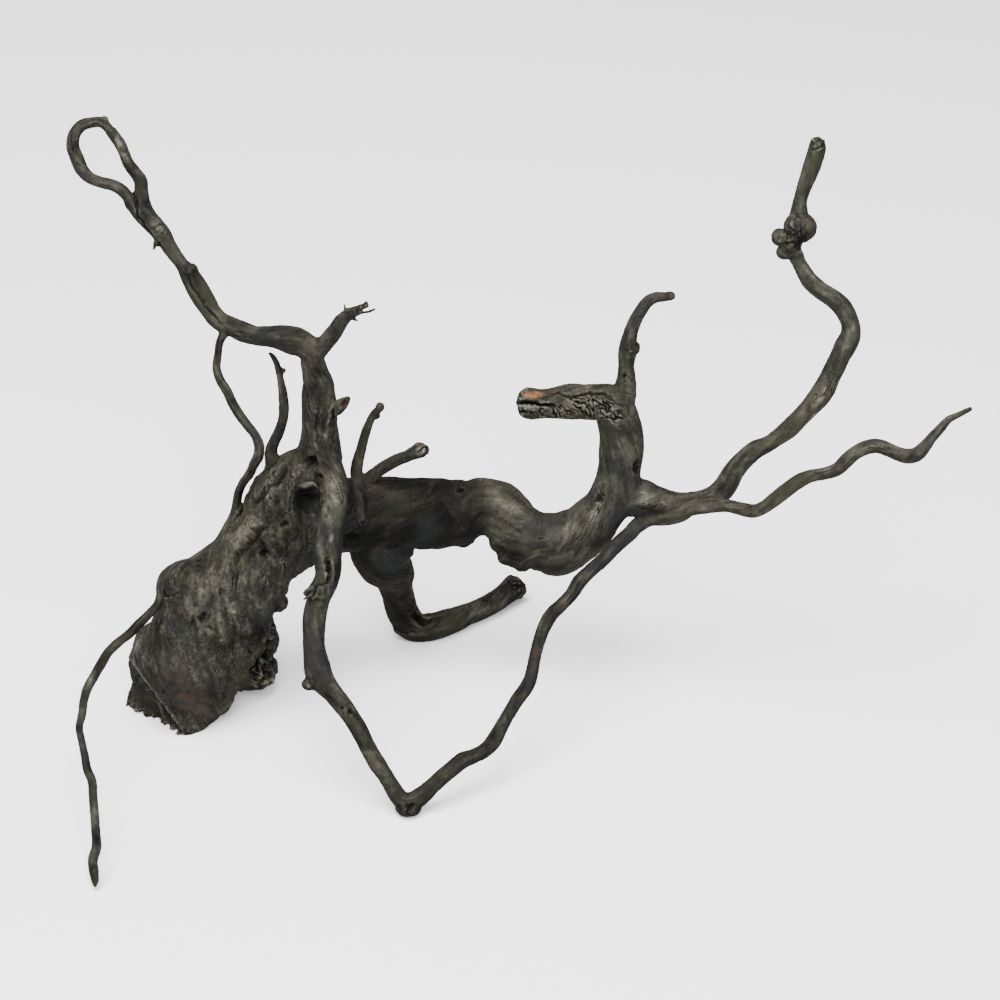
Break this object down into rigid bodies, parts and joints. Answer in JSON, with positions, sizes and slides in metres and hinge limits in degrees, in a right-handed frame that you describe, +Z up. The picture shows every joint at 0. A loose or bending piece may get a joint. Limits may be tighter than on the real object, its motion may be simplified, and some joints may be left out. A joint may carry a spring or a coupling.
{
  "type": "aquarium root wood",
  "caption": "Branching piece of dried root wood for an aquarium or terrarium, with a burl base, winding limbs, a looped twig and trailing rootlets.",
  "frame": {"origin": "centre of the bounding box at the ground the wood rests on", "axes": "+Z up, +X from the burl towards the winding right-hand limbs, +Y away from the front root"},
  "size_m": [0.4399, 0.2628, 0.2896],
  "materials": {
    "burl_wood": "dry rough burl wood, dark grey-brown with olive and reddish-brown patches",
    "limb_wood": "dry weathered root wood, grey-tan where worn and near black underneath",
    "snag_wood": "split, deeply fibrous root wood with a fresh orange-tan break",
    "twig_wood": "thin dry root bark, grey-brown with blue-grey and olive tints"
  },
  "bodies": {
    "root": {"stump": "burl_wood", "crown": "burl_wood", "trunk": "limb_wood", "hind_leg": "limb_wood", "trunk_bend": "limb_wood", "broken_snag": "snag_wood", "snag_twig": "twig_wood", "right_limb": "limb_wood", "knotted_tip": "twig_wood", "lower_right_branch": "twig_wood", "front_root": "limb_wood", "front_root_arm": "limb_wood", "left_riser": "limb_wood", "left_branch": "twig_wood", "loop_twig": "twig_wood", "broken_stub": "snag_wood", "hanging_rootlet": "twig_wood", "inner_twig": "twig_wood", "upright_twig": "twig_wood", "short_stub": "twig_wood", "long_rootlet": "twig_wood"}
  },
  "joints": []
}
